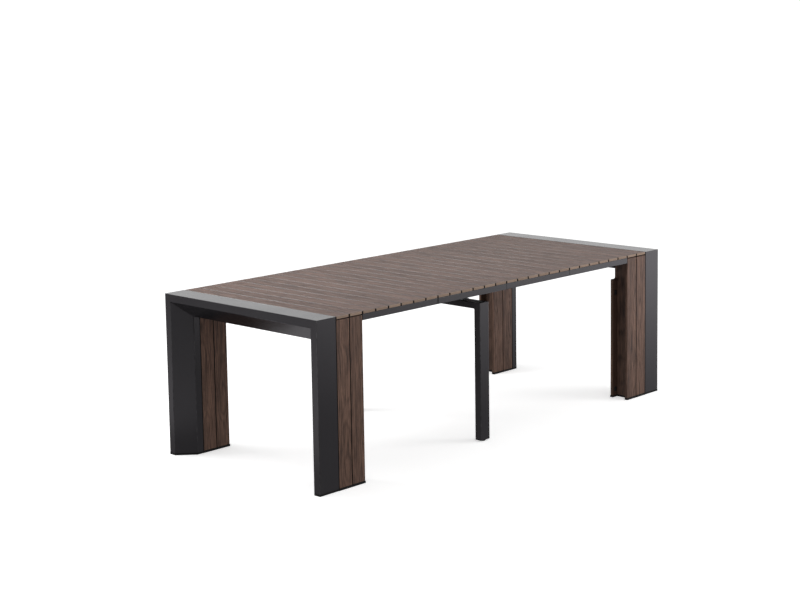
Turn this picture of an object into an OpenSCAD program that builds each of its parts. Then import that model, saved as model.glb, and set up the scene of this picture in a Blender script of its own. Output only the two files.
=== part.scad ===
// Extending outdoor dining table: two metal and wood portals on nested slides, four loose
// leaves and a centre support. Millimetres, +Z up, X along the length, the floor at z = 0.
// The near end is at low X and the front side at low Y. Each portal piece is drawn for the
// near end and mirrored to the far end.

/* [Table] */
// Height of the top surface above the floor
table_h = 750; // [700:10:800]
// Width across the portals
table_w = 1000; // [860:10:1300]
// Slats in one leaf
leaf_slats = 6; // [5:1:7]
// Thickness of a leg across the table
leg_t = 106; // [98:1:118]

/* [Slats] */
// Width of a slat
slat_w = 75; // [66:1:84]
// Thickness of a slat
slat_t = 12; // [9:0.5:13]
// Open gap beside a slat
slat_gap = 4; // [3:0.5:7]
// Vertical gap between the leg slats and the top slats
head_gap = 5; // [3:0.5:8]

/* [Portal metal] */
// Width of the metal profile seen from the side
profile_w = 110; // [96:1:130]
// Width of its flat end strip, outside the bevel
end_strip = 36; // [26:1:46]
// Width of its flat inner strip, next to the slats
inner_strip = 34; // [24:1:44]
// Wall of the folded profile
profile_wall = 3; // [2:0.5:4]
// Length of each arm of a corner key
key_arm = 64; // [40:2:90]
// Width of a corner key
key_w = 30; // [20:1:34]
// Thickness of a corner key
key_t = 4; // [3:0.5:6]

/* [Leg] */
// Depth of the recess in the face towards the middle
recess_d = 36; // [34:0.5:42]
// Wall of the leg's tube and thickness of the flanges beside the recess
core_wall = 4; // [3:0.5:5]
// Thickness of the wooden recess panel
panel_t = 8; // [5:0.5:12]
// Gap between the beam and the bottom of its notch
notch_gap = 12; // [4:0.5:40]
// Radius of the inner corner of the notch
notch_r = 9; // [4:1:14]
// Thickness of a foot plate
foot_t = 10; // [4:0.5:12]
// How far a foot plate stands proud of the slats
foot_proud = 1.5; // [0.5:0.1:1.8]
// Width of a rubber bumper on the side of the recess
bumper_w = 16; // [8:1:20]
// Height of a bumper
bumper_h = 24; // [14:1:34]
// Thickness of a bumper
bumper_t = 5; // [3:0.5:6]
// Height of the centre of the lower bumper
bumper_low_z = 42; // [30:1:80]
// Distance from the bottom of the notch down to the centre of the upper bumper
bumper_drop = 69; // [30:1:200]
// Gap between the inner leg slats and the cross rails
inner_slat_gap = 2; // [0.5:0.5:8]

/* [Leaf frame] */
// Height of the aprons and rails under the slats
rail_h = 28; // [24:0.5:32]
// Width of an apron and of a leaf's rails
rail_w = 20; // [16:1:26]
// Wall of the aprons and rails
rail_wall = 2; // [1.5:0.5:3]
// Gap between the frames of two neighbouring leaves
frame_gap = 1.5; // [1:0.1:2.8]
// Gap between the outer ribs and the slides
rib_gap = 18.9; // [10:0.1:60]
// Fit gap between a rib and the rails at its ends
rib_clear = 0.3; // [0.1:0.1:0.5]
// Width of the cross rails of a portal
cross_rail_w = 30; // [22:1:40]
// Width and depth of a guide block under a leaf
guide_w = 14; // [8:1:16]
// Height of a guide block
guide_h = 14; // [8:1:18]

/* [Slides] */
// Width of a slide member
member_w = 11.7; // [11:0.1:13]
// Height of a slide member
member_h = 30; // [26:1:34]
// Distance from the outer side of the leg to the first member
pack_y = 130; // [122:1:136]
// Distance from a member's end to the end of the table, on a portal
member_inset = 50; // [48:1:80]
// Travel of each slide between the near portal and the centre support
near_travel = 280; // [262:1:290]
// Height of the neck of the slide's tongue groove
neck_h = 6; // [4:0.5:8]
// Depth of the neck
neck_d = 2.2; // [1.5:0.1:3]
// Height of the head of the tongue groove
head_h = 13; // [9:0.5:16]
// Depth of the head
head_d = 3.2; // [2.4:0.1:3.6]

/* [Centre support] */
// Size of the centre leg tube along the table
tube_x = 62; // [50:1:64]
// Size of the centre leg tube across the table
tube_y = 37; // [28:1:42]
// Distance from the outer side of the table to the tube
tube_inset = 45; // [40:1:47]
// Wall of the tube and of the beam
tube_wall = 2; // [1.5:0.5:3]
// Height of the beam
beam_h = 30; // [24:1:34]
// Gap between the top of the beam and the slides, which the brackets bridge
beam_gap = 20.7; // [8:0.1:28]
// Thickness of the support bracket's plate
bracket_t = 3; // [2:0.5:5]
// Length of the bracket along the table
bracket_x = 50; // [40:1:60]
// Size of the bracket's plate across the table
bracket_y = 44; // [36:1:60]
// Height of the plug in a tube's foot
plug_h = 32; // [24:1:50]
// Gap between the foot of a tube and the glide
glide_gap = 1; // [0.5:0.1:3]
// Radius of a levelling glide
glide_r = 14; // [9:0.5:16]
// Height of the glide's disc
glide_h = 5; // [3:0.5:8]
// Radius of the glide's stud
stud_r = 4; // [3:0.5:6]
// Length of the stud inside the tube
stud_l = 30; // [20:1:40]

/* [Fasteners] */
// Radius of a screw's shank
screw_r = 2; // [1.5:0.1:2.1]
// Radius of a screw's head
screw_head_r = 3.2; // [2.6:0.1:3.2]
// Height of a screw's head
screw_head_h = 2.5; // [1.5:0.1:3.5]
// How deep a screw goes into a slat
screw_bite = 7; // [4:0.5:8]

/* [Clearances] */
// Fit gap between the leg's tube and its flanges
flange_clear = 0.3; // [0.1:0.1:0.5]
// Clearance between parts that slide on each other
slide_clear = 0.3; // [0.2:0.05:0.5]
// Radial clearance of a screw in the part that it holds
screw_clear = 0.1; // [0.05:0.05:0.2]
// Radial clearance of the glide's stud in its plug
stud_clear = 0.1; // [0.05:0.05:0.2]
// Sideways clearance between a guide block and the slides
guide_clear = 1; // [0.5:0.1:2]

/* [Hidden] */
// Counts that the names of the nodes follow: the loose leaves, and the slide members side
// by side, numbered from 0 on the near portal. The centre support is fixed to one of them.
leaves = 4;
members = 8;
support_member = 3;

// Slats fixed on each portal, as many as there are beside the metal on a leg
portal_slats = 2;
slat_pitch = slat_w + slat_gap;
portal_d = profile_w + portal_slats * slat_pitch;
leaf_l = leaf_slats * slat_pitch - slat_gap;
leaf_pitch = leaf_l + slat_gap;
table_l = 2 * portal_d + leaves * leaf_pitch + slat_gap;
closed_l = 2 * portal_d + slat_gap;
travel = table_l - closed_l;

// Levels of the top, from the surface down
slat_z = table_h - slat_t;
rail_z = slat_z - rail_h;
member_top_z = rail_z - slide_clear;
member_z = member_top_z - member_h;
beam_top_z = member_z - beam_gap;
notch_z = beam_top_z - beam_h - notch_gap;
bumper_high_z = notch_z - bumper_drop;

// The slides: the far ones share what the near ones leave of the travel
slides = members - 1;
near_slides = support_member;
far_travel = (travel - near_slides * near_travel) / (slides - near_slides);
member_l = closed_l - 2 * member_inset;
member_pitch = member_w + slide_clear;
pack_end_y = pack_y + slides * member_pitch + member_w + neck_d + head_d;
rib_y = table_w / 2 - pack_end_y - rib_gap - rail_w / 2;

// The centre support stands at the middle of its member
support_x = closed_l / 2 + near_slides * near_travel;

// The leg, measured in from its outer side and from the near end
recess_x = portal_d - recess_d;
panel_x = recess_x - panel_t;
web_x = panel_x - core_wall;
core_y = slat_t;
core_d = leg_t - 2 * slat_t;
flange_y = leg_t - slat_t - core_wall;
inner_slat_top_z = rail_z - inner_slat_gap;

key_x = (profile_w - key_w) / 2;

// How far a cut reaches past a face that it opens, and past one that it only touches
over = 1;
eps = 0.01;
$fn = 48;

metal = [0.24, 0.24, 0.25];
wood = [0.45, 0.36, 0.31];
dark_wood = [0.27, 0.21, 0.18];
slide_black = [0.13, 0.13, 0.14];
plastic = [0.08, 0.08, 0.08];
steel = [0.6, 0.61, 0.63];

// Places: x from the near or the far end, y from the front side and mirrored to the back
module near() { translate([-table_l / 2, 0, 0]) children(); }
module far() { mirror([1, 0, 0]) near() children(); }
module front() { translate([0, -table_w / 2, 0]) children(); }
module back() { mirror([0, 1, 0]) front() children(); }
module both_sides() {
    front() children();
    back() children();
}

// The folded profile: a flat outer face, an end strip, a bevel and a flat inner strip
bevel_run = [profile_w - inner_strip, leg_t - end_strip];
bevel_n = [bevel_run[1], -bevel_run[0]] / norm(bevel_run) * profile_wall;
bevel_start = [0, end_strip] + bevel_n;
function bevel_at_x(x) = bevel_start[1] + (x - bevel_start[0]) * bevel_run[1] / bevel_run[0];
function bevel_at_y(y) = bevel_start[0] + (y - bevel_start[1]) * bevel_run[0] / bevel_run[1];

module profile_outline() {
    polygon([[0, 0], [profile_w, 0], [profile_w, leg_t], [profile_w - inner_strip, leg_t],
        [0, end_strip]]);
}

module profile_hollow() {
    t = profile_wall;
    polygon([[t, t], [profile_w + over, t], [profile_w + over, leg_t - t],
        [bevel_at_y(leg_t - t), leg_t - t], [t, bevel_at_x(t)]]);
}

// The profile's section, cut where the bar and the posts are mitred together
module folded(length) {
    linear_extrude(length) difference() {
        profile_outline();
        profile_hollow();
    }
}

module top_bar() {
    intersection() {
        translate([0, table_w / 2, table_h]) rotate([90, 0, 0])
            mirror([0, 1, 0]) folded(table_w);
        rotate([90, 0, 90]) linear_extrude(profile_w)
            polygon([[-table_w / 2, table_h], [table_w / 2, table_h],
                [table_w / 2 - 2 * leg_t, table_h - 2 * leg_t],
                [2 * leg_t - table_w / 2, table_h - 2 * leg_t]]);
    }
}

module post() {
    intersection() {
        translate([0, 0, foot_t]) folded(table_h - foot_t);
        rotate([90, 0, 90]) linear_extrude(profile_w)
            polygon([[0, foot_t], [0, table_h], [leg_t, table_h - leg_t], [leg_t, foot_t]]);
    }
}

// An angle inside each mitred corner
module corner_key() {
    t = profile_wall;
    translate([key_x, t, table_h - t - key_arm]) cube([key_w, key_t, key_arm]);
    translate([key_x, t, table_h - t - key_t]) cube([key_w, key_arm, key_t]);
}

// The notch that lets the beam of the centre support into the leg
module notch(y, depth) {
    h = slat_z - notch_z + over;
    translate([recess_x, y + depth, notch_z]) rotate([90, 0, 0]) linear_extrude(depth) {
        translate([notch_r, 0]) square([recess_d - notch_r + over, h]);
        translate([0, notch_r]) square([recess_d + over, h - notch_r]);
        translate([notch_r, notch_r]) circle(notch_r);
    }
}

// A tube beside the profile, and a flange on each side of the recess
module leg_core() {
    wall = core_wall;
    difference() {
        translate([profile_w, core_y, foot_t])
            cube([panel_x - profile_w, core_d, slat_z - foot_t]);
        translate([profile_w + wall, core_y + wall, foot_t - over])
            cube([web_x - profile_w - wall, core_d - 2 * wall, slat_z - foot_t + over - wall]);
    }
    leg_flange(core_y);
    difference() {
        leg_flange(flange_y);
        notch(flange_y - eps, leg_t - flange_y);
    }
}

module leg_flange(y) {
    translate([panel_x + flange_clear, y, foot_t])
        cube([portal_d - panel_x - flange_clear, core_wall, slat_z - foot_t]);
}

module recess_panel() {
    translate([panel_x, core_y + core_wall, foot_t])
        cube([panel_t, core_d - 2 * core_wall, slat_z - foot_t]);
}

module bumper(z) {
    translate([recess_x + (recess_d - bumper_w) / 2, flange_y - bumper_t, z - bumper_h / 2])
        cube([bumper_w, bumper_t, bumper_h]);
}

module outer_leg_slats() {
    for (i = [0 : portal_slats - 1])
        translate([profile_w + slat_gap + i * slat_pitch, 0, foot_t])
            cube([slat_w, slat_t, slat_z - head_gap - foot_t]);
}

module inner_leg_slats() {
    difference() {
        for (i = [0 : portal_slats - 1])
            translate([profile_w + slat_gap + i * slat_pitch, leg_t - slat_t, foot_t])
                cube([slat_w, slat_t, inner_slat_top_z - foot_t]);
        notch(leg_t - slat_t - over, slat_t + 2 * over);
    }
}

module foot_plate() {
    linear_extrude(foot_t) difference() {
        union() {
            profile_outline();
            translate([profile_w, -foot_proud])
                square([portal_d - profile_w + foot_proud, leg_t + 2 * foot_proud]);
        }
        translate([recess_x, core_y + core_wall])
            square([recess_d + foot_proud + over, core_d - 2 * core_wall]);
    }
}

// A hollow bar along Y or X, open at its ends
module tube_along_y(w, l, h, t) {
    difference() {
        cube([w, l, h]);
        translate([t, -over, t]) cube([w - 2 * t, l + 2 * over, h - 2 * t]);
    }
}

module tube_along_x(l, w, h, t) {
    difference() {
        cube([l, w, h]);
        translate([-over, t, t]) cube([l + 2 * over, w - 2 * t, h - 2 * t]);
    }
}

// Places of the screws that hold the slats of a portal, and of the slide screws
fixing_ys = [-rib_y, 0, rib_y];
function portal_slat_x(i) = profile_w + slat_gap + i * slat_pitch + slat_w / 2;
function member_y(j) = pack_y + (slides - j) * member_pitch;
member_screw_y = member_w - (member_w - neck_d - head_d) / 2;

module screw(length) {
    mirror([0, 0, 1]) cylinder(r = screw_head_r, h = screw_head_h);
    cylinder(r = screw_r, h = length);
}

module screw_hole(length) {
    translate([0, 0, -over]) cylinder(r = screw_r + screw_clear, h = length + over);
}

module portal_screw_places() {
    for (i = [0 : portal_slats - 1], y = fixing_ys)
        translate([portal_slat_x(i), y, rail_z]) children();
}

module slide_screw_places(j) {
    both_sides() for (i = [0 : portal_slats - 1])
        translate([portal_slat_x(i), member_y(j) + member_screw_y, member_z]) children();
}

module top_slats() {
    difference() {
        for (i = [0 : portal_slats - 1])
            translate([profile_w + slat_gap + i * slat_pitch, -table_w / 2, slat_z])
                cube([slat_w, table_w, slat_t]);
        portal_screw_places() screw_hole(rail_h + screw_bite);
    }
}

module cross_rails(j) {
    difference() {
        for (i = [0 : portal_slats - 1])
            translate([portal_slat_x(i) - cross_rail_w / 2, leg_t - slat_t - table_w / 2, rail_z])
                tube_along_y(cross_rail_w, table_w - 2 * (leg_t - slat_t), rail_h, rail_wall);
        portal_screw_places() screw_hole(rail_h + screw_bite);
        slide_screw_places(j) screw_hole(member_h + slide_clear + rail_wall + over);
    }
}

module portal_screws(j) {
    portal_screw_places() screw(rail_h + screw_bite);
    slide_screw_places(j) screw(member_h + slide_clear + 3 * rail_wall);
}

// One slide member: its groove faces the outside and its tongue runs in the next one's groove
module member_outline() {
    c = slide_clear;
    m = member_h / 2;
    n = neck_h / 2;
    g = head_h / 2;
    head_start = member_w + 2 * c + neck_d;
    head_end = member_w + neck_d + head_d;
    polygon([[0, 0], [member_w, 0],
        [member_w, m - n + c], [head_start, m - n + c],
        [head_start, m - g + c], [head_end, m - g + c],
        [head_end, m + g - c], [head_start, m + g - c],
        [head_start, m + n - c], [member_w, m + n - c],
        [member_w, member_h], [0, member_h],
        [0, m + n], [neck_d, m + n], [neck_d, m + g], [neck_d + head_d, m + g],
        [neck_d + head_d, m - g], [neck_d, m - g], [neck_d, m - n], [0, m - n]]);
}

function member_x(j) = member_inset + min(j, near_slides) * near_travel
    + max(j - near_slides, 0) * far_travel;

module member_pair(j) {
    both_sides() translate([member_x(j), member_y(j), member_z])
        rotate([90, 0, 90]) linear_extrude(member_l) member_outline();
}

module fixed_slides(j) {
    difference() {
        near() member_pair(j);
        if (j == 0) near() slide_screw_places(j) screw_hole(member_h + over);
        if (j > 0) far() slide_screw_places(j) screw_hole(member_h + over);
    }
}

// The centre support: two tubes and a beam welded between them
module centre_leg() {
    t = tube_wall;
    z = glide_h + glide_gap;
    translate([support_x - tube_x / 2, tube_inset, z]) difference() {
        cube([tube_x, tube_y, beam_top_z - z]);
        translate([t, t, -over])
            cube([tube_x - 2 * t, tube_y - 2 * t, beam_top_z - z + over - t]);
    }
}

module beam() {
    y = tube_inset + tube_y;
    translate([support_x - tube_x / 2, y - table_w / 2, beam_top_z - beam_h])
        tube_along_y(tube_x, table_w - 2 * y, beam_h, tube_wall);
}

bracket_web = member_w - 2 * slide_clear;
bracket_low_y = member_y(support_member) + slide_clear;
bracket_screw_x = bracket_x / 2 - 3 * screw_r;
bracket_screw_y = bracket_y / 2 - 3 * screw_r;

module bracket_screw_places() {
    both_sides() for (dx = [-bracket_screw_x, bracket_screw_x], dy = [-bracket_screw_y, bracket_screw_y])
        translate([support_x + dx, bracket_low_y + bracket_web / 2 + dy, beam_top_z]) children();
}

module bracket() {
    translate([support_x - bracket_x / 2, bracket_low_y + (bracket_web - bracket_y) / 2, beam_top_z])
        cube([bracket_x, bracket_y, bracket_t]);
    translate([support_x - bracket_x / 2, bracket_low_y, beam_top_z])
        cube([bracket_x, bracket_web, member_z - beam_top_z]);
}

module bracket_hole() {
    translate([0, 0, -bracket_t - tube_wall]) cylinder(r = screw_r + screw_clear, h = 4 * bracket_t);
}

module bracket_screw() {
    translate([0, 0, bracket_t]) mirror([0, 0, 1]) screw(bracket_t + 2 * tube_wall);
}

module glide() {
    translate([support_x, tube_inset + tube_y / 2, 0]) {
        cylinder(r = glide_r, h = glide_h);
        cylinder(r = stud_r, h = glide_h + glide_gap + stud_l);
    }
}

module leg_plug() {
    t = tube_wall;
    z = glide_h + glide_gap;
    difference() {
        translate([support_x - tube_x / 2 + t, tube_inset + t, z])
            cube([tube_x - 2 * t, tube_y - 2 * t, plug_h]);
        translate([support_x, tube_inset + tube_y / 2, z - over])
            cylinder(r = stud_r + stud_clear, h = plug_h + 2 * over);
    }
}

// Leaves, numbered from the near end
function leaf_x(k) = portal_d + slat_gap + (k - 1) * leaf_pitch;
frame_l = leaf_pitch - frame_gap;
frame_over = (slat_gap - frame_gap) / 2;
end_rail_xs = [-frame_over, leaf_l + frame_over - rail_w];

module leaf_screw_places(k) {
    for (i = [0 : leaf_slats - 1], y = fixing_ys)
        translate([leaf_x(k) + i * slat_pitch + slat_w / 2, y, rail_z]) children();
}

module leaf_slat_set(k) {
    difference() {
        for (i = [0 : leaf_slats - 1])
            translate([leaf_x(k) + i * slat_pitch, -table_w / 2, slat_z])
                cube([slat_w, table_w, slat_t]);
        leaf_screw_places(k) screw_hole(rail_h + screw_bite);
    }
}

module leaf_aprons(k) {
    both_sides() translate([leaf_x(k) - frame_over, 0, rail_z])
        tube_along_x(frame_l, rail_w, rail_h, rail_wall);
}

// Two end rails between the aprons and three ribs between the end rails
module leaf_rails(k) {
    difference() {
        translate([leaf_x(k), 0, rail_z]) {
            for (x = end_rail_xs)
                translate([x, rail_w - table_w / 2, 0])
                    tube_along_y(rail_w, table_w - 2 * rail_w, rail_h, rail_wall);
            for (y = fixing_ys)
                translate([end_rail_xs[0] + rail_w + rib_clear, y - rail_w / 2, 0])
                    tube_along_x(frame_l - 2 * (rail_w + rib_clear), rail_w, rail_h, rail_wall);
        }
        leaf_screw_places(k) screw_hole(rail_h + screw_bite);
    }
}

// Blocks that hang beside the slides and keep the leaf in line
module leaf_guide_blocks(k) {
    both_sides() for (x = end_rail_xs)
        translate([leaf_x(k) + x + (rail_w - guide_w) / 2, pack_y - guide_clear - guide_w,
            rail_z - guide_h])
            cube([guide_w, guide_w, guide_h]);
}

// Pieces of a portal by name
module portal_piece(name, j) {
    if (name == "top_bar") color(metal) top_bar();
    if (name == "posts") color(metal) both_sides() post();
    if (name == "corner_keys") color(steel) both_sides() corner_key();
    if (name == "leg_cores") color(metal) both_sides() leg_core();
    if (name == "recess_panels") color(dark_wood) both_sides() recess_panel();
    if (name == "recess_bumpers")
        color(plastic) both_sides() for (z = [bumper_low_z, bumper_high_z]) bumper(z);
    if (name == "outer_leg_slats") color(wood) both_sides() outer_leg_slats();
    if (name == "inner_leg_slats") color(wood) both_sides() inner_leg_slats();
    if (name == "foot_plates") color(plastic) both_sides() foot_plate();
    if (name == "top_slats") color(wood) top_slats();
    if (name == "cross_rails") color(metal) cross_rails(j);
    if (name == "screws") color(steel) portal_screws(j);
}

module near_top_bar() { near() portal_piece("top_bar", 0); }
module near_posts() { near() portal_piece("posts", 0); }
module near_corner_keys() { near() portal_piece("corner_keys", 0); }
module near_leg_cores() { near() portal_piece("leg_cores", 0); }
module near_recess_panels() { near() portal_piece("recess_panels", 0); }
module near_recess_bumpers() { near() portal_piece("recess_bumpers", 0); }
module near_outer_leg_slats() { near() portal_piece("outer_leg_slats", 0); }
module near_inner_leg_slats() { near() portal_piece("inner_leg_slats", 0); }
module near_foot_plates() { near() portal_piece("foot_plates", 0); }
module near_top_slats() { near() portal_piece("top_slats", 0); }
module near_cross_rails() { near() portal_piece("cross_rails", 0); }
module near_fixed_slides() { color(slide_black) fixed_slides(0); }
module near_screws() { near() portal_piece("screws", 0); }

module far_top_bar() { far() portal_piece("top_bar", slides); }
module far_posts() { far() portal_piece("posts", slides); }
module far_corner_keys() { far() portal_piece("corner_keys", slides); }
module far_leg_cores() { far() portal_piece("leg_cores", slides); }
module far_recess_panels() { far() portal_piece("recess_panels", slides); }
module far_recess_bumpers() { far() portal_piece("recess_bumpers", slides); }
module far_outer_leg_slats() { far() portal_piece("outer_leg_slats", slides); }
module far_inner_leg_slats() { far() portal_piece("inner_leg_slats", slides); }
module far_foot_plates() { far() portal_piece("foot_plates", slides); }
module far_top_slats() { far() portal_piece("top_slats", slides); }
module far_cross_rails() { far() portal_piece("cross_rails", slides); }
module far_fixed_slides() { color(slide_black) fixed_slides(slides); }
module far_screws() { far() portal_piece("screws", slides); }

module slide_stage(j) { color(slide_black) near() member_pair(j); }
module support_front_leg() { color(metal) near() front() centre_leg(); }
module support_back_leg() { color(metal) near() back() centre_leg(); }
module support_beam() {
    color(metal) near() difference() {
        beam();
        bracket_screw_places() bracket_hole();
    }
}
module support_brackets() {
    color(slide_black) near() difference() {
        both_sides() bracket();
        bracket_screw_places() bracket_hole();
    }
}
module support_screws() { color(steel) near() bracket_screw_places() bracket_screw(); }
module leg_plugs() { color(plastic) near() both_sides() leg_plug(); }
module front_glide() { color(plastic) near() front() glide(); }
module back_glide() { color(plastic) near() back() glide(); }

module leaf_slats_node(k) { color(wood) near() leaf_slat_set(k); }
module leaf_aprons_node(k) { color(metal) near() leaf_aprons(k); }
module leaf_rails_node(k) { color(metal) near() leaf_rails(k); }
module leaf_guides_node(k) { color(plastic) near() leaf_guide_blocks(k); }
module leaf_screws_node(k) {
    color(steel) near() leaf_screw_places(k) screw(rail_h + screw_bite);
}

near_top_bar();
near_posts();
near_corner_keys();
near_leg_cores();
near_recess_panels();
near_recess_bumpers();
near_outer_leg_slats();
near_inner_leg_slats();
near_foot_plates();
near_top_slats();
near_cross_rails();
near_fixed_slides();
near_screws();
far_top_bar();
far_posts();
far_corner_keys();
far_leg_cores();
far_recess_panels();
far_recess_bumpers();
far_outer_leg_slats();
far_inner_leg_slats();
far_foot_plates();
far_top_slats();
far_cross_rails();
far_fixed_slides();
far_screws();
slide_stage(1);  // slide_stage_1
slide_stage(2);  // slide_stage_2
slide_stage(3);  // slide_stage_3
slide_stage(4);  // slide_stage_4
slide_stage(5);  // slide_stage_5
slide_stage(6);  // slide_stage_6
support_front_leg();
support_back_leg();
support_beam();
support_brackets();
support_screws();
leg_plugs();
front_glide();
back_glide();
leaf_slats_node(1);  // leaf_1_slats
leaf_aprons_node(1);  // leaf_1_aprons
leaf_rails_node(1);  // leaf_1_rails
leaf_guides_node(1);  // leaf_1_guide_blocks
leaf_screws_node(1);  // leaf_1_screws
leaf_slats_node(2);  // leaf_2_slats
leaf_aprons_node(2);  // leaf_2_aprons
leaf_rails_node(2);  // leaf_2_rails
leaf_guides_node(2);  // leaf_2_guide_blocks
leaf_screws_node(2);  // leaf_2_screws
leaf_slats_node(3);  // leaf_3_slats
leaf_aprons_node(3);  // leaf_3_aprons
leaf_rails_node(3);  // leaf_3_rails
leaf_guides_node(3);  // leaf_3_guide_blocks
leaf_screws_node(3);  // leaf_3_screws
leaf_slats_node(4);  // leaf_4_slats
leaf_aprons_node(4);  // leaf_4_aprons
leaf_rails_node(4);  // leaf_4_rails
leaf_guides_node(4);  // leaf_4_guide_blocks
leaf_screws_node(4);  // leaf_4_screws
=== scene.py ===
import math

import bmesh
import bpy
from mathutils import Euler, Matrix, Vector


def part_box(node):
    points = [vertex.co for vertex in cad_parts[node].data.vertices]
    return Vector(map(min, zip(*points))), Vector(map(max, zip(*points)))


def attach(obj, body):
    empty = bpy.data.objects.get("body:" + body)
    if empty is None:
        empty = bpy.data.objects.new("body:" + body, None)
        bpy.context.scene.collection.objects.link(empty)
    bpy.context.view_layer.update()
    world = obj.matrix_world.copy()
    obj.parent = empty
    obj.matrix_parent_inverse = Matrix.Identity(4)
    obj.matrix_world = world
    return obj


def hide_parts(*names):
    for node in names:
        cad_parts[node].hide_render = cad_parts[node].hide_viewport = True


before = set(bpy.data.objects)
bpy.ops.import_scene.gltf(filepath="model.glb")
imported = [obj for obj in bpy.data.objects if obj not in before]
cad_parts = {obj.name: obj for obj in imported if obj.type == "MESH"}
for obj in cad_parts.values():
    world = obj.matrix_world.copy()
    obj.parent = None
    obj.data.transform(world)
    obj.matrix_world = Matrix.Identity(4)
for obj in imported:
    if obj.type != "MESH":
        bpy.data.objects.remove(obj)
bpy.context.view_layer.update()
scene = bpy.context.scene
scene.view_settings.view_transform = "Standard"

# Camera. It stands off the near front corner, somewhat higher than a standing eye, and looks
# along the table's diagonal. Its place, angles and lens were fitted to the photograph.
PITCH_DOWN = 7.238
HEADING = 43.828
ROLL = -0.887
camera = bpy.data.objects.new("camera", bpy.data.cameras.new("camera"))
scene.collection.objects.link(camera)
scene.camera = camera
camera.location = (-5.7784, -5.3664, 2.0759)
look = Euler((math.radians(90 - PITCH_DOWN), 0, math.radians(HEADING - 90))).to_matrix()
roll = Matrix.Rotation(math.radians(ROLL), 3, "Z")
camera.rotation_mode = "QUATERNION"
camera.rotation_quaternion = (look @ roll).to_quaternion()
camera.data.sensor_width = 36
camera.data.lens = 73.94
camera.data.shift_y = -0.12
camera.data.clip_end = 200


# Studio. A white room with a soft lamp off the far front corner and one high behind the table.
# The floor is white with a faint shadow, and clear from below. Mirrored in the pieces, it shows
# a painted glow, dim beside the table and growing brighter to the right, under the first lamp.
ROOM_LIGHT = 0.57
ROOM_WHITE = 1.12
FLOOR_LIT = (0.48, 0.48, 0.48, 1)
FLOOR_WHITE = (0.95, 0.95, 0.95, 1)
FLOOR_MIRRORED_GLOW = (1, 0.965, 1.01, 1)
FLOOR_GLOW = 0.56
FLOOR_HALF = 60
FLOOR_DROP = 0.0003


def add_node(tree, kind, inputs=None, **settings):
    node = tree.nodes.new(kind)
    for name, value in settings.items():
        setattr(node, name, value)
    for name, value in (inputs or {}).items():
        socket = node.inputs[name]
        if isinstance(value, bpy.types.NodeSocket):
            tree.links.new(value, socket)
        else:
            socket.default_value = value
    return node


def maths(tree, operation, a, b=0.0, c=0.0, clamp=False):
    return add_node(
        tree, "ShaderNodeMath", {0: a, 1: b, 2: c}, operation=operation, use_clamp=clamp
    ).outputs[0]


world = bpy.data.worlds.new("white_room")
scene.world = world
world.use_nodes = True
world.node_tree.nodes.clear()
room_path = add_node(world.node_tree, "ShaderNodeLightPath").outputs
room_seen = maths(
    world.node_tree, "MAXIMUM", room_path["Is Camera Ray"], room_path["Is Glossy Ray"]
)
room_light = add_node(
    world.node_tree, "ShaderNodeBackground", {"Color": (1, 1, 1, 1), "Strength": ROOM_LIGHT}
)
room_white = add_node(
    world.node_tree, "ShaderNodeBackground", {"Color": (1, 1, 1, 1), "Strength": ROOM_WHITE}
)
room_mix = add_node(
    world.node_tree,
    "ShaderNodeMixShader",
    {0: room_seen, 1: room_light.outputs[0], 2: room_white.outputs[0]},
)
add_node(world.node_tree, "ShaderNodeOutputWorld", {"Surface": room_mix.outputs[0]})

for name, place, aim, width, height, power in (
    ("lamp_front", (2.7, -3.0, 2.2), (0.9, -0.4, 0.8), 1.6, 1.6, 38),
    ("lamp_behind", (-1.8, 2.1, 2.5), (-0.4, 0, 0.7), 1.8, 0.8, 47),
):
    lamp = bpy.data.objects.new(name, bpy.data.lights.new(name, "AREA"))
    scene.collection.objects.link(lamp)
    lamp.data.shape = "RECTANGLE"
    lamp.data.size = width
    lamp.data.size_y = height
    lamp.data.energy = power
    lamp.visible_camera = False
    lamp.location = place
    lamp.rotation_mode = "QUATERNION"
    lamp.rotation_quaternion = (Vector(aim) - lamp.location).to_track_quat("-Z", "Y")

floor_paint = bpy.data.materials.new("floor_paint")
floor_paint.use_nodes = True
floor_tree = floor_paint.node_tree
floor_tree.nodes.clear()
floor_path = add_node(floor_tree, "ShaderNodeLightPath").outputs
floor_place = add_node(floor_tree, "ShaderNodeTexCoord").outputs["Object"]
floor_x, floor_y = add_node(
    floor_tree, "ShaderNodeSeparateXYZ", {0: floor_place}
).outputs[:2]

# The mirrored floor's painted glow: a slow rise to the right, and a bright patch past the near end.
RISE_MIDDLE = 0.37
RISE_SLOPE = 0.235
RISE_CURVE = 0.04
RISE_BACK = -0.17
PATCH_START = -1.2
PATCH_FULL = -1.7
PATCH_Y = 0.7
PATCH_LEVEL = 1.45
PATCH_FALL = -0.3
DIMMEST = 0.58
BRIGHTEST = 2.8
rise = maths(floor_tree, "MULTIPLY_ADD", floor_x, RISE_CURVE, RISE_SLOPE)
rise = maths(floor_tree, "MULTIPLY_ADD", floor_x, rise, RISE_MIDDLE)
rise = maths(floor_tree, "MULTIPLY_ADD", floor_y, RISE_BACK, rise)
in_patch = {"Value": floor_x, "From Min": PATCH_START, "From Max": PATCH_FULL}
in_patch = add_node(floor_tree, "ShaderNodeMapRange", in_patch).outputs["Result"]
off_patch = maths(floor_tree, "ABSOLUTE", maths(floor_tree, "SUBTRACT", floor_y, PATCH_Y))
patch = maths(floor_tree, "MULTIPLY_ADD", off_patch, PATCH_FALL, PATCH_LEVEL)
patch = maths(floor_tree, "MULTIPLY", in_patch, patch)
mirrored_glow = maths(floor_tree, "MAXIMUM", rise, patch)
mirrored_glow = maths(floor_tree, "MAXIMUM", mirrored_glow, DIMMEST)
mirrored_glow = maths(floor_tree, "MINIMUM", mirrored_glow, BRIGHTEST)
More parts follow.
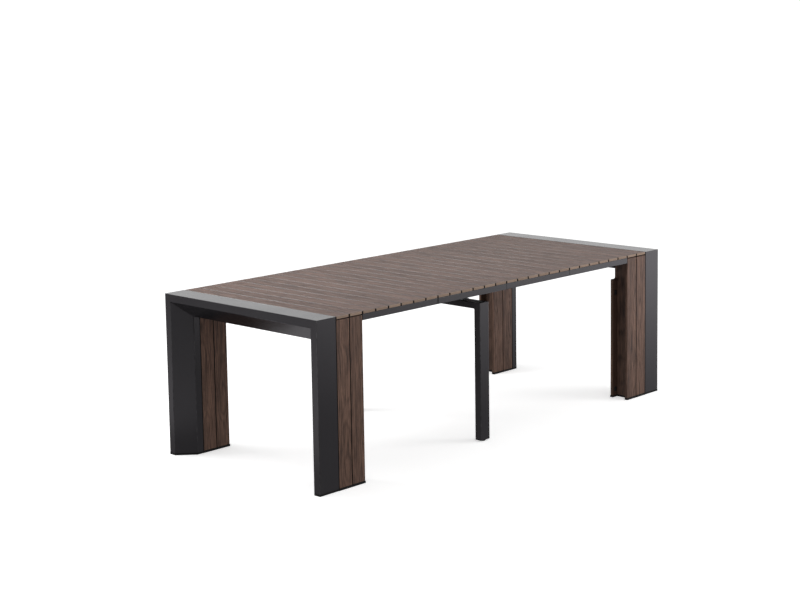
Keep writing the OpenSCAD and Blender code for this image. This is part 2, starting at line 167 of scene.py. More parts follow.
floor_grey = add_node(floor_tree, "ShaderNodeBsdfDiffuse", {"Color": FLOOR_LIT})
floor_white = add_node(floor_tree, "ShaderNodeBsdfDiffuse", {"Color": FLOOR_WHITE})
floor_glow = add_node(
    floor_tree, "ShaderNodeEmission", {"Color": (1, 1, 1, 1), "Strength": FLOOR_GLOW}
)
# The floor as the pieces mirror it: the painted glow, graded as above.
floor_mirrored_glow = add_node(
    floor_tree, "ShaderNodeEmission", {"Color": FLOOR_MIRRORED_GLOW, "Strength": mirrored_glow}
)
floor_seen = add_node(
    floor_tree, "ShaderNodeAddShader", {0: floor_white.outputs[0], 1: floor_glow.outputs[0]}
)
floor_mix = add_node(
    floor_tree,
    "ShaderNodeMixShader",
    {0: floor_path["Is Glossy Ray"], 1: floor_grey.outputs[0], 2: floor_mirrored_glow.outputs[0]},
)
floor_side = add_node(floor_tree, "ShaderNodeNewGeometry").outputs["Backfacing"]
floor_clear = add_node(floor_tree, "ShaderNodeBsdfTransparent")
floor_seen = add_node(
    floor_tree,
    "ShaderNodeMixShader",
    {0: floor_side, 1: floor_seen.outputs[0], 2: floor_clear.outputs[0]},
)
floor_mix = add_node(
    floor_tree,
    "ShaderNodeMixShader",
    {0: floor_path["Is Camera Ray"], 1: floor_mix.outputs[0], 2: floor_seen.outputs[0]},
)
add_node(floor_tree, "ShaderNodeOutputMaterial", {"Surface": floor_mix.outputs[0]})

floor_bm = bmesh.new()
bmesh.ops.create_grid(floor_bm, x_segments=1, y_segments=1, size=FLOOR_HALF)
bmesh.ops.translate(floor_bm, vec=(0, 0, -FLOOR_DROP), verts=floor_bm.verts)
floor_mesh = bpy.data.meshes.new("floor")
floor_bm.to_mesh(floor_mesh)
floor_bm.free()
floor_mesh.materials.append(floor_paint)
floor = bpy.data.objects.new("floor", floor_mesh)
scene.collection.objects.link(floor)


# Top bars. Each end of the table has a bar folded from aluminium sheet: a flat top, a flat end
# strip, a bevel and a flat inner strip. It is powder coated and mitred to the posts.
TABLE_L = 2.436
TABLE_W = 1.0
TABLE_H = 0.75
PROFILE_W = 0.110
LEG_T = 0.106
END_STRIP = 0.036
INNER_STRIP = 0.034
SHEET = 0.003
FOLD_R = 0.002
FLATTEST = 0.1
STEEPEST = 2.0
fold_points = [
    (PROFILE_W, 0),
    (0, 0),
    (0, END_STRIP),
    (PROFILE_W - INNER_STRIP, LEG_T),
    (PROFILE_W, LEG_T),
]


def new_material(name):
    material = bpy.data.materials.new(name)
    material.use_nodes = True
    material.node_tree.nodes.clear()
    shader = add_node(material.node_tree, "ShaderNodeBsdfPrincipled")
    add_node(material.node_tree, "ShaderNodeOutputMaterial", {"Surface": shader.outputs[0]})
    return material, material.node_tree, shader


def colour_mix(tree, factor, first, second):
    values = {"Factor": factor}
    for socket, colour in ((6, first), (7, second)):
        values[socket] = colour if isinstance(colour, bpy.types.NodeSocket) else (*colour, 1)
    return add_node(tree, "ShaderNodeMix", values, data_type="RGBA").outputs[2]


def new_group(name, inputs, outputs):
    tree = bpy.data.node_groups.new(name, "ShaderNodeTree")
    for label, kind in inputs:
        tree.interface.new_socket(label, in_out="INPUT", socket_type=kind)
    for label in outputs:
        tree.interface.new_socket(label, in_out="OUTPUT", socket_type="NodeSocketFloat")
    return tree, add_node(tree, "NodeGroupInput").outputs, add_node(tree, "NodeGroupOutput").inputs


# Wear group: patches along the edges that the pieces mark, where the finish is rubbed lighter.
wear_group, given, result = new_group(
    "edge_wear", [("Position", "NodeSocketVector"), ("Amount", "NodeSocketFloat")], ["Wear"]
)
wear_patches = add_node(
    wear_group, "ShaderNodeTexNoise", {"Vector": given["Position"], "Scale": 45.0, "Detail": 5.0}
)
wear_edge = add_node(wear_group, "ShaderNodeAttribute", attribute_name="edge")
wear_spread = add_node(
    wear_group,
    "ShaderNodeMapRange",
    {"Value": wear_patches.outputs["Fac"], "From Min": 0.35, "From Max": 0.7},
)
worn = maths(wear_group, "MULTIPLY", wear_edge.outputs["Fac"], wear_spread.outputs["Result"])
wear_group.links.new(maths(wear_group, "MULTIPLY", worn, given["Amount"]), result["Wear"])

# Powder group: the slow clouding and the fine orange peel of a baked coat.
powder_group, given, result = new_group(
    "powder_texture", [("Position", "NodeSocketVector")], ["Cloud", "Peel"]
)
for label, scale, detail in (("Cloud", 4.0, 3.0), ("Peel", 1100.0, 1.0)):
    noise = add_node(
        powder_group,
        "ShaderNodeTexNoise",
        {"Vector": given["Position"], "Scale": scale, "Detail": detail},
    )
    powder_group.links.new(noise.outputs["Fac"], result[label])


CLOUDING = 0.16
CLOUD_ROUGH = 0.12
PEEL_ROUGH = 0.06
PEEL_DEPTH = 0.0004
COAT_WEAR = 0.8


def coated(name, shade, rubbed_shade, roughness, specular, bump=0.12):
    material, tree, shader = new_material(name)
    place = add_node(tree, "ShaderNodeTexCoord").outputs["Object"]
    powder = add_node(tree, "ShaderNodeGroup", node_tree=powder_group)
    tree.links.new(place, powder.inputs["Position"])
    wear = add_node(tree, "ShaderNodeGroup", node_tree=wear_group)
    tree.links.new(place, wear.inputs["Position"])
    wear.inputs["Amount"].default_value = COAT_WEAR
    darker = [(1 - CLOUDING) * v for v in shade]
    lighter = [(1 + CLOUDING) * v for v in shade]
    tone = colour_mix(tree, powder.outputs["Cloud"], darker, lighter)
    tone = colour_mix(tree, wear.outputs["Wear"], tone, rubbed_shade)
    tree.links.new(tone, shader.inputs["Base Color"])
    smoothest = roughness - (CLOUD_ROUGH + PEEL_ROUGH) / 2
    rough = maths(tree, "MULTIPLY_ADD", powder.outputs["Cloud"], CLOUD_ROUGH, smoothest)
    rough = maths(tree, "MULTIPLY_ADD", powder.outputs["Peel"], PEEL_ROUGH, rough)
    tree.links.new(rough, shader.inputs["Roughness"])
    relief = add_node(
        tree,
        "ShaderNodeBump",
        {"Height": powder.outputs["Peel"], "Strength": bump, "Distance": PEEL_DEPTH},
    )
    tree.links.new(relief.outputs["Normal"], shader.inputs["Normal"])
    shader.inputs["Specular IOR Level"].default_value = specular
    return material


charcoal = coated(
    "charcoal_coat",
    (0.0165, 0.015, 0.0175),
    (0.06, 0.058, 0.064),
    roughness=0.22,
    specular=0.27,
)


def start_piece():
    bm = bmesh.new()
    bm.faces.layers.float.new("edge")
    return bm


def round_edges(bm, edges, radius, segments=3):
    made = bmesh.ops.bevel(
        bm,
        geom=edges,
        offset=radius,
        offset_type="OFFSET",
        segments=segments,
        profile=0.5,
        affect="EDGES",
        material=-1,
        clamp_overlap=True,
    )
    layer = bm.faces.layers.float["edge"]
    for face in made["faces"]:
        face[layer] = 1.0
        face.smooth = True


def to_end(bm, end):
    bmesh.ops.translate(bm, vec=(-TABLE_L / 2, 0, 0), verts=bm.verts)
    if end == "far":
        bmesh.ops.scale(bm, vec=(-1, 1, 1), verts=bm.verts)
        bmesh.ops.reverse_faces(bm, faces=bm.faces)


def finish_piece(bm, name, materials, body, slot, *stands_for):
    mesh = bpy.data.meshes.new(name)
    bm.to_mesh(mesh)
    bm.free()
    for material in materials if isinstance(materials, list) else [materials]:
        mesh.materials.append(material)
    piece = bpy.data.objects.new(name, mesh)
    scene.collection.objects.link(piece)
    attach(piece, body)
    if stands_for:
        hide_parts(*stands_for)
    return piece


def folded_sheet(origin, down, along):
    bm = start_piece()
    corners = [bm.verts.new(origin + Vector((x, 0, 0)) + down * d) for x, d in fold_points]
    path = [bm.edges.new(pair) for pair in zip(corners, corners[1:])]
    grown = bmesh.ops.extrude_edge_only(bm, edges=path)["geom"]
    moved = [g for g in grown if isinstance(g, bmesh.types.BMVert)]
    bmesh.ops.translate(bm, vec=along, verts=moved)
    bm.normal_update()
    top = min(bm.faces, key=lambda f: (f.calc_center_median() - origin).dot(down))
    if top.normal.dot(down) > 0:
        bmesh.ops.reverse_faces(bm, faces=bm.faces)
    bmesh.ops.solidify(bm, geom=bm.faces[:], thickness=SHEET)
    bm.normal_update()
    rim_area = 2 * SHEET * along.length
    folds = [
        e
        for e in bm.edges
        if len(e.link_faces) == 2
        and FLATTEST < e.calc_face_angle() < STEEPEST
        and min(f.calc_area() for f in e.link_faces) > rim_area
    ]
    round_edges(bm, folds, FOLD_R, 4)
    return bm


def mitre(bm, corner, normal):
    cut = bmesh.ops.bisect_plane(
        bm,
        geom=bm.verts[:] + bm.edges[:] + bm.faces[:],
        dist=1e-6,
        plane_co=corner,
        plane_no=normal,
        clear_outer=True,
    )["geom_cut"]
    bmesh.ops.edgeloop_fill(bm, edges=[g for g in cut if isinstance(g, bmesh.types.BMEdge)])


for end in ("near", "far"):
    bm = folded_sheet(
        Vector((0, -TABLE_W / 2, TABLE_H)), Vector((0, 0, -1)), Vector((0, TABLE_W, 0))
    )
    for side in (-1, 1):
        mitre(bm, (0, side * TABLE_W / 2, TABLE_H), (0, side, -1))
    to_end(bm, end)
    finish_piece(
        bm, end + "_bar", charcoal, end + "_portal", "charcoal_metal", end + "_top_bar"
    )

# Posts. Two at each end, folded from the same aluminium sheet as the bar, so that its bevel runs
# on down the leg. Each stands on its foot plate and is mitred to the bar at the top.
FOOT_T = 0.010


def both_sides(bm):
    copied = bmesh.ops.duplicate(bm, geom=bm.verts[:] + bm.edges[:] + bm.faces[:])["geom"]
    verts = [g for g in copied if isinstance(g, bmesh.types.BMVert)]
    bmesh.ops.scale(bm, vec=(1, -1, 1), verts=verts)
    bmesh.ops.reverse_faces(bm, faces=[g for g in copied if isinstance(g, bmesh.types.BMFace)])


for end in ("near", "far"):
    bm = folded_sheet(
        Vector((0, -TABLE_W / 2, FOOT_T)), Vector((0, 1, 0)), Vector((0, 0, TABLE_H - FOOT_T))
    )
    mitre(bm, (0, -TABLE_W / 2, TABLE_H), (0, 1, 1))
    both_sides(bm)
    to_end(bm, end)
    finish_piece(
        bm, end + "_post_pair", charcoal, end + "_portal", "charcoal_metal", end + "_posts"
    )

# Corner keys. Angles of plain steel inside the mitres, which hold a bar and its posts together.
# They are stamped from flat bar and never coated.
SHARP = 0.7
FLAT = 0.02
WELD = 1e-5
KEY_EASE = 0.0005
BRUSH_LINES = (250, 2400, 250)
STEEL_DARK = (0.36, 0.37, 0.38)
STEEL_LIGHT = (0.52, 0.53, 0.55)
steel, steel_tree, steel_shader = new_material("plain_steel")
steel_place = add_node(steel_tree, "ShaderNodeTexCoord").outputs["Object"]
steel_brushed = add_node(
    steel_tree, "ShaderNodeVectorMath", {0: steel_place, 1: BRUSH_LINES}, operation="MULTIPLY"
).outputs[0]
steel_lines = add_node(
    steel_tree, "ShaderNodeTexNoise", {"Vector": steel_brushed, "Scale": 1.0, "Detail": 3.0}
).outputs["Fac"]
steel_tone = colour_mix(steel_tree, steel_lines, STEEL_DARK, STEEL_LIGHT)
steel_tree.links.new(steel_tone, steel_shader.inputs["Base Color"])
steel_rough = maths(steel_tree, "MULTIPLY_ADD", steel_lines, 0.25, 0.22)
steel_tree.links.new(steel_rough, steel_shader.inputs["Roughness"])
steel_relief = add_node(
    steel_tree, "ShaderNodeBump", {"Height": steel_lines, "Strength": 0.1, "Distance": 0.0002}
)
steel_tree.links.new(steel_relief.outputs["Normal"], steel_shader.inputs["Normal"])
steel_shader.inputs["Metallic"].default_value = 1.0


def eased_copy(node, name, material, body, slot, radius):
    bm = bmesh.new()
    bm.from_mesh(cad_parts[node].data)
    bm.faces.layers.float.new("edge")
    bmesh.ops.remove_doubles(bm, verts=bm.verts, dist=WELD)
    bmesh.ops.dissolve_limit(bm, angle_limit=FLAT, verts=bm.verts, edges=bm.edges)
    rims = [e for e in bm.edges if len(e.link_faces) == 2 and e.calc_face_angle() > SHARP]
    round_edges(bm, rims, radius, 2)
    for face in bm.faces:
        face.material_index = 0
    return finish_piece(bm, name, material, body, slot, node)


for end in ("near", "far"):
    eased_copy(
        end + "_corner_keys", end + "_keys", steel, end + "_portal", "steel", KEY_EASE
    )

# Leg tubes and flanges. An aluminium tube, coated like the bar, stands inside each leg. The two
# flanges that make the sides of its recess are coated dark brown, so that they pass for wood.
TUBE_EASE = 0.0005
FLANGE_X = 0.2242
brown_coat = coated(
    "brown_coat", (0.085, 0.050, 0.037), (0.13, 0.085, 0.062), roughness=0.6, specular=0.1
)
for end in ("near", "far"):
    tubes = eased_copy(
        end + "_leg_cores",
        end + "_leg_tubes",
        [charcoal, brown_coat],
        end + "_portal",
        "charcoal_metal",
        TUBE_EASE,
    )
    for face in tubes.data.polygons:
        if abs(face.center.x) < TABLE_L / 2 - FLANGE_X:
            face.material_index = 1

# Leg slats. Boards of brown oiled wood with eased edges, two on the outside and two on the
# inside of each leg, glued to the leg's tube. The inner ones are cut away beside the recess.
SLAT_W = 0.075
SLAT_T = 0.012
SLAT_GAP = 0.004
SLAT_PITCH = SLAT_W + SLAT_GAP
SLAT_EASE = 0.0016
PORTAL_SLATS = 2
PORTAL_D = PROFILE_W + PORTAL_SLATS * SLAT_PITCH
HEAD_GAP = 0.005
RAIL_H = 0.028
RAIL_GAP = 0.002
RECESS_X = 0.232
NOTCH_Z = 0.617
NOTCH_R = 0.009
ROW_PITCH = 0.05
first_slat_x = PROFILE_W + SLAT_GAP
top_underside = TABLE_H - SLAT_T

# Grain group: growth rings about a heart beside the board, with fibres, streaks, pores and knots.
# Position is across, along and into the board, and Seed is the board's own number.
grain_group, given, result = new_group(
    "wood_grain",
    [("Position", "NodeSocketVector"), ("Seed", "NodeSocketFloat")],
    ["Rings", "Fibres", "Streaks", "Pores", "Knots", "Tone"],
)
HEART_SPREAD = (0.07, 9.0, 0.05)
HEART_START = (-0.035, 0.0, 0.025)
WANDER = (0.03, 0, 0.05)
RING_PHASE = 1150.0
RAGGED_PHASE = 5.0
SWIRL_PHASE = 16.0
chance = add_node(
    grain_group, "ShaderNodeTexWhiteNoise", {"W": given["Seed"]}, noise_dimensions="1D"
)
heart = add_node(
    grain_group,
    "ShaderNodeVectorMath",
    {0: chance.outputs["Color"], 1: HEART_SPREAD, 2: HEART_START},
    operation="MULTIPLY_ADD",
)
in_board = add_node(
    grain_group, "ShaderNodeVectorMath", {0: given["Position"], 1: heart.outputs[0]}
).outputs[0]


def grain_noise(scales, detail, roughness=0.5, output="Fac"):
    scaled = add_node(
        grain_group, "ShaderNodeVectorMath", {0: in_board, 1: scales}, operation="MULTIPLY"
    )
    values = {"Vector": scaled.outputs[0], "Scale": 1.0, "Detail": detail, "Roughness": roughness}
    return add_node(grain_group, "ShaderNodeTexNoise", values).outputs[output]


def grain_range(value, low, high):
    values = {"Value": value, "From Min": low, "From Max": high}
    return add_node(grain_group, "ShaderNodeMapRange", values).outputs["Result"]


wander_noise = grain_noise((4, 3.2, 4), 2.0, output="Color")
wander = add_node(
    grain_group,
    "ShaderNodeVectorMath",
    {0: wander_noise, 1: WANDER, 2: [-v / 2 for v in WANDER]},
    operation="MULTIPLY_ADD",
)
section = add_node(
    grain_group, "ShaderNodeVectorMath", {0: in_board, 1: (1, 0, 1)}, operation="MULTIPLY"
)
section = add_node(
    grain_group, "ShaderNodeVectorMath", {0: section.outputs[0], 1: wander.outputs[0]}
)
radius = add_node(
    grain_group, "ShaderNodeVectorMath", {0: section.outputs[0]}, operation="LENGTH"
).outputs["Value"]
knot_place = add_node(
    grain_group, "ShaderNodeVectorMath", {0: in_board, 1: (9, 2.0, 0)}, operation="MULTIPLY"
)
knot_far = add_node(
    grain_group, "ShaderNodeTexVoronoi", {"Vector": knot_place.outputs[0], "Scale": 1.0}
).outputs["Distance"]
swirl = maths(grain_group, "POWER", grain_range(knot_far, 0.3, 0.0), 2.0)
ragged = grain_noise((90, 5, 90), 3.0)
phase = maths(grain_group, "MULTIPLY", radius, RING_PHASE)
phase = maths(grain_group, "MULTIPLY_ADD", ragged, RAGGED_PHASE, phase)
phase = maths(grain_group, "MULTIPLY_ADD", swirl, SWIRL_PHASE, phase)
wave = maths(grain_group, "MULTIPLY_ADD", maths(grain_group, "SINE", phase), 0.5, 0.5)
for label, value in (
    ("Rings", maths(grain_group, "POWER", wave, 1.6)),
    ("Fibres", grain_range(grain_noise((400, 14, 400), 4.0, 0.7), 0.3, 0.7)),
    ("Streaks", grain_range(grain_noise((105, 7.5, 105), 4.0, 0.65), 0.34, 0.66)),
    ("Pores", grain_range(grain_noise((1300, 32, 1300), 2.0), 0.58, 0.7)),
    ("Knots", grain_range(knot_far, 0.075, 0.03)),
    ("Tone", chance.outputs["Value"]),
):
    grain_group.links.new(value, result[label])


# Shares of the grain's parts in a board's shade, in its sawn ends and in its relief, then the
# depths of the marks over them.
SHADE_START = 0.02
SHADE_PARTS = (
    ("Fibres", 0.42),
    ("Streaks", 0.75),
    ("Rings", -0.3),
    ("Tone", 0.2),
    ("Knots", -0.5),
)
SAWN_PARTS = (("Rings", -0.35), ("Tone", -0.3))
RELIEF_PARTS = (("Rings", 0.35), ("Pores", -0.8))
ROW_SEED = 37.0
SIDE_SEED = 5.0
SAWN_DARK = 0.4
SAWN_START = 0.0010
SAWN_FULL = 0.0004
PORE_DARK = 0.45
PORE_DEPTH = 0.5
WOOD_WEAR = 0.55
# Painted shade along the gaps between boards: its colour, its reach, and where it is full.
PAINTED_GAP_SHADE = 0.2
TOP_GAP_SHADE = (0.0014, 0.9)
LEG_GAP_SHADE = 0.0013
GAP_SHADE_FULL = 0.4
GAP_SHADE_AT_END = 0.002
EDGE_MARGIN = 0.002
FIBRE_ROUGH = 0.16
EDGE_ROUGH = -0.28
EDGE_COAT = 0.75
COAT_START = 0.002
COAT_FULL = 0.004


def board_wood(name, dark, light, rubbed, lie, roughness=0.55, sawn=None):
    material, tree, shader = new_material(name)
    place = add_node(tree, "ShaderNodeTexCoord").outputs["Object"]
    x, y, z = add_node(tree, "ShaderNodeSeparateXYZ", {0: place}).outputs
    first_gap = TABLE_L / 2 - PROFILE_W - SLAT_GAP / 2
    count = maths(tree, "MULTIPLY_ADD", x, 1 / SLAT_PITCH, first_gap / SLAT_PITCH)
    number = maths(tree, "FLOOR", count)
    across = maths(tree, "MULTIPLY", maths(tree, "SUBTRACT", count, number), SLAT_PITCH)
    across = maths(tree, "SUBTRACT", across, SLAT_PITCH / 2)
    if lie == "top":
        spot = (across, y, maths(tree, "SUBTRACT", z, TABLE_H - SLAT_T / 2))
        seed = number
    elif lie == "leg":
        row = maths(tree, "ROUND", maths(tree, "MULTIPLY", y, 1 / ROW_PITCH))
        spot = (across, z, maths(tree, "MULTIPLY_ADD", row, -ROW_PITCH, y))
        seed = maths(tree, "MULTIPLY_ADD", row, ROW_SEED, number)
    else:
        side = maths(tree, "SIGN", y)
        spot = (maths(tree, "MULTIPLY_ADD", side, (LEG_T - TABLE_W) / 2, y), z, x)
        seed = maths(tree, "MULTIPLY_ADD", side, SIDE_SEED, maths(tree, "SIGN", x))
    spot = add_node(tree, "ShaderNodeCombineXYZ", dict(enumerate(spot))).outputs[0]
    grain = add_node(tree, "ShaderNodeGroup", node_tree=grain_group)
    tree.links.new(spot, grain.inputs["Position"])
    tree.links.new(seed, grain.inputs["Seed"])
    shade = SHADE_START
    for label, share in SHADE_PARTS:
        last = label == "Knots"
        shade = maths(tree, "MULTIPLY_ADD", grain.outputs[label], share, shade, clamp=last)
    body = colour_mix(tree, shade, dark, light)

    # The sawn ends are lighter and show the rings.
    if sawn:
        ends = {"From Min": TABLE_W / 2 - SAWN_START, "From Max": TABLE_W / 2 - SAWN_FULL}
        ends["Value"] = maths(tree, "ABSOLUTE", y)
        end_mask = add_node(tree, "ShaderNodeMapRange", ends).outputs["Result"]
        end_shade = 1.0
        for label, share in SAWN_PARTS:
            end_shade = maths(tree, "MULTIPLY_ADD", grain.outputs[label], share, end_shade)
        end_body = colour_mix(tree, end_shade, [SAWN_DARK * v for v in sawn], sawn)
        body = colour_mix(tree, end_mask, body, end_body)

    pores = maths(tree, "MULTIPLY", grain.outputs["Pores"], PORE_DEPTH)
    body = colour_mix(tree, pores, body, [PORE_DARK * v for v in dark])
    wear = add_node(tree, "ShaderNodeGroup", node_tree=wear_group)
    tree.links.new(place, wear.inputs["Position"])
    wear.inputs["Amount"].default_value = WOOD_WEAR
    body = colour_mix(tree, wear.outputs["Wear"], body, rubbed)

    # Painted shade: a board is darker along the gap to its neighbour, wider at its sawn ends.
    if lie != "panel":
        reach = maths(tree, "ABSOLUTE", across)
        if sawn:
            reach = maths(tree, "MULTIPLY_ADD", end_mask, GAP_SHADE_AT_END, reach)
            shade_lip, deepest_shade = TOP_GAP_SHADE
        else:
            recess_edge = TABLE_L / 2 - PORTAL_D + EDGE_MARGIN
            shade_lip = LEG_GAP_SHADE
            deepest_shade = maths(tree, "GREATER_THAN", maths(tree, "ABSOLUTE", x), recess_edge)
        gap_shade = {"From Min": SLAT_W / 2 - shade_lip, "From Max": SLAT_W / 2 - GAP_SHADE_FULL * shade_lip}
        gap_shade = {**gap_shade, "Value": reach, "To Max": deepest_shade}
        gap_shade = add_node(tree, "ShaderNodeMapRange", gap_shade).outputs["Result"]
        body = colour_mix(tree, gap_shade, body, [PAINTED_GAP_SHADE * v for v in dark])
    tree.links.new(body, shader.inputs["Base Color"])

    # The oil lies thicker on the top's eased edges, so that they glint.
    smoothest = roughness - FIBRE_ROUGH / 2
    rough = maths(tree, "MULTIPLY_ADD", grain.outputs["Fibres"], FIBRE_ROUGH, smoothest)
    if lie == "top":
        edge = add_node(tree, "ShaderNodeAttribute", attribute_name="edge").outputs["Fac"]
        rough = maths(tree, "MULTIPLY_ADD", edge, EDGE_ROUGH, rough)
        coat = {"From Min": TABLE_W / 2 - COAT_FULL, "From Max": TABLE_W / 2 - COAT_START}
        coat = {**coat, "To Min": EDGE_COAT, "To Max": 0.0, "Value": maths(tree, "ABSOLUTE", y)}
        coat = add_node(tree, "ShaderNodeMapRange", coat).outputs["Result"]
        tree.links.new(maths(tree, "MULTIPLY", edge, coat), shader.inputs["Coat Weight"])
        shader.inputs["Coat Roughness"].default_value = 0.22
        shader.inputs["Coat IOR"].default_value = 1.7
    tree.links.new(rough, shader.inputs["Roughness"])

    height = grain.outputs["Fibres"]
    for label, share in RELIEF_PARTS:
        height = maths(tree, "MULTIPLY_ADD", grain.outputs[label], share, height)
    relief = add_node(
        tree, "ShaderNodeBump", {"Height": height, "Strength": 0.3, "Distance": 0.0006}
    )
    tree.links.new(relief.outputs["Normal"], shader.inputs["Normal"])
    shader.inputs["Specular IOR Level"].default_value = 0.1 if lie == "top" else 0.25
    return material


leg_wood = board_wood(
    "leg_wood", (0.030, 0.0155, 0.0105), (0.225, 0.13, 0.092), (0.26, 0.165, 0.125), "leg"
)


def add_board(bm, low, high, ease, corner=0.0, corner_axis=2):
    size = Vector(high) - Vector(low)
    centre = (Vector(high) + Vector(low)) / 2
    matrix = Matrix.Translation(centre) @ Matrix.Diagonal(size).to_4x4()
    others = set(bm.faces)
    verts = bmesh.ops.create_cube(bm, size=1.0, matrix=matrix)["verts"]
    edges = list({e for v in verts for e in v.link_edges})
    if corner:
        upright = [e for e in edges if e.verts[0].co[corner_axis] != e.verts[1].co[corner_axis]]
        round_edges(bm, upright, corner, 4)
        faces = [f for f in bm.faces if f not in others and abs(f.normal[corner_axis]) > 0.9]
        edges = list({e for f in faces for e in f.edges})
    round_edges(bm, edges, ease, 3)


for end in ("near", "far"):
    bm = start_piece()
    for i in range(PORTAL_SLATS):
        x = first_slat_x + i * SLAT_PITCH
        add_board(
            bm,
            (x, -TABLE_W / 2, FOOT_T),
            (x + SLAT_W, SLAT_T - TABLE_W / 2, top_underside - HEAD_GAP),
            SLAT_EASE,
        )
    both_sides(bm)
    to_end(bm, end)
    finish_piece(
        bm, end + "_outer_boards", leg_wood, end + "_portal", "wood_slats", end + "_outer_leg_slats"
    )

    bm = start_piece()
    inner_y = LEG_T - SLAT_T - TABLE_W / 2
    inner_top = top_underside - RAIL_H - RAIL_GAP
    left = first_slat_x + SLAT_PITCH
    right = left + SLAT_W
    outline = [
        (left, FOOT_T),
        (right, FOOT_T),
        (right, NOTCH_Z),
        (RECESS_X, NOTCH_Z),
        (RECESS_X, inner_top),
        (left, inner_top),
    ]
    face = bm.faces.new([bm.verts.new((x, inner_y, z)) for x, z in outline])
    grown = bmesh.ops.extrude_face_region(bm, geom=[face])["geom"]
    moved = [g for g in grown if isinstance(g, bmesh.types.BMVert)]
    bmesh.ops.translate(bm, vec=(0, SLAT_T, 0), verts=moved)
    bmesh.ops.recalc_face_normals(bm, faces=bm.faces)
    inner_corner = [
        e
        for e in bm.edges
        if all(abs(v.co.x - RECESS_X) < 1e-6 and abs(v.co.z - NOTCH_Z) < 1e-6 for v in e.verts)
    ]
    round_edges(bm, inner_corner, NOTCH_R, 6)
    rims = [e for e in bm.edges if len(e.link_faces) == 2 and e.calc_face_angle() > SHARP]
    round_edges(bm, rims, SLAT_EASE, 3)
    add_board(
        bm,
        (first_slat_x, inner_y, FOOT_T),
        (first_slat_x + SLAT_W, inner_y + SLAT_T, inner_top),
        SLAT_EASE,
    )
    both_sides(bm)
    to_end(bm, end)
    finish_piece(
        bm, end + "_inner_boards", leg_wood, end + "_portal", "wood_slats", end + "_inner_leg_slats"
    )

# Recess panels. A darker oiled board is glued into the back of the recess in each leg, into
# which half of a centre leg goes when the table is closed.
CORE_WALL = 0.004
PANEL_T = 0.008
PANEL_EASE = 0.0008
recess_outer = SLAT_T + CORE_WALL
recess_inner = LEG_T - SLAT_T - CORE_WALL
panel_wood = board_wood(
    "panel_wood", (0.026, 0.0145, 0.0105), (0.165, 0.099, 0.073), (0.2, 0.13, 0.1), "panel"
)
for end in ("near", "far"):
    bm = start_piece()
    low = (RECESS_X - PANEL_T, recess_outer - TABLE_W / 2, FOOT_T)
    high = (RECESS_X, recess_inner - TABLE_W / 2, top_underside)
    add_board(bm, low, high, PANEL_EASE)
    both_sides(bm)
    to_end(bm, end)
    finish_piece(
        bm, end + "_panel_pair", panel_wood, end + "_portal", "recess_wood", end + "_recess_panels"
    )

# Bumpers. Two soft rubber pads on the inner side of each recess, pressed onto the flange, which
# steady the centre leg when the table is closed.
BUMPER_W = 0.016
BUMPER_H = 0.024
BUMPER_T = 0.005
BUMPER_EASE = 0.0012
BUMPER_CORNER = 0.003
BUMPER_LEVELS = (0.042, NOTCH_Z - 0.069)
bumper_x = (RECESS_X + PORTAL_D - BUMPER_W) / 2
bumper_y = recess_inner - TABLE_W / 2
bumper_rubber = coated(
    "bumper_rubber",
    (0.009, 0.009, 0.009),
    (0.03, 0.03, 0.03),
    roughness=0.7,
    specular=0.3,
    bump=0.3,
)
for end in ("near", "far"):
    bm = start_piece()
    for z in BUMPER_LEVELS:
        add_board(
            bm,
            (bumper_x, bumper_y - BUMPER_T, z - BUMPER_H / 2),
            (bumper_x + BUMPER_W, bumper_y, z + BUMPER_H / 2),
            BUMPER_EASE,
            BUMPER_CORNER,
            1,
        )
    both_sides(bm)
    to_end(bm, end)
    finish_piece(
        bm, end + "_bumpers", bumper_rubber, end + "_portal", "rubber", end + "_recess_bumpers"
    )

# Foot plates. A plate of moulded black plastic is fixed under each leg, a little proud of the
# boards, with a gap where the recess is open to the floor.
moulded_black = coated(
    "moulded_black",
    (0.005, 0.005, 0.005),
    (0.012, 0.012, 0.012),
    roughness=0.6,
    specular=0.15,
    bump=0.3,
)
PROUD = 0.0015
FOOT_EASE = 0.0006
foot_end = PORTAL_D + PROUD
foot_outline = [
    (0, 0),
    (PROFILE_W, 0),
    (PROFILE_W, -PROUD),
    (foot_end, -PROUD),
    (foot_end, recess_outer),
    (RECESS_X, recess_outer),
    (RECESS_X, recess_inner),
    (foot_end, recess_inner),
    (foot_end, LEG_T + PROUD),
    (PROFILE_W, LEG_T + PROUD),
    (PROFILE_W, LEG_T),
    (PROFILE_W - INNER_STRIP, LEG_T),
    (0, END_STRIP),
]
for end in ("near", "far"):
    bm = start_piece()
    face = bm.faces.new([bm.verts.new((x, y - TABLE_W / 2, 0)) for x, y in foot_outline])
    grown = bmesh.ops.extrude_face_region(bm, geom=[face])["geom"]
    moved = [g for g in grown if isinstance(g, bmesh.types.BMVert)]
    bmesh.ops.translate(bm, vec=(0, 0, FOOT_T), verts=moved)
    bmesh.ops.recalc_face_normals(bm, faces=bm.faces)
    round_edges(bm, [e for e in bm.edges if e.calc_face_angle() > SHARP], FOOT_EASE, 2)
    both_sides(bm)
    to_end(bm, end)
    finish_piece(
        bm, end + "_feet", moulded_black, end + "_portal", "black_plastic", end + "_foot_plates"
    )

# Cross rails. Two aluminium box tubes, coated like the bar, lie across each portal. Screws go up
# through them into the slats, and the fixed slides hang from them.
RAIL_EASE = 0.0006
for end in ("near", "far"):
    eased_copy(
        end + "_cross_rails",
        end + "_rails",
        charcoal,
        end + "_portal",
        "charcoal_metal",
        RAIL_EASE,
    )

# Top slats. Twenty-eight boards of brown oiled wood, screwed from below, lie across the table:
# two on each portal and six on each loose leaf. Their sawn ends show along both sides.
LEAVES = 4
LEAF_SLATS = 6
SLAT_CORNER = 0.0025
top_wood = board_wood(
    "top_wood",
    (0.034, 0.019, 0.0145),
    (0.208, 0.13, 0.105),
    (0.42, 0.34, 0.3),
    "top",
    roughness=0.5,
    sawn=(0.46, 0.33, 0.25),
)


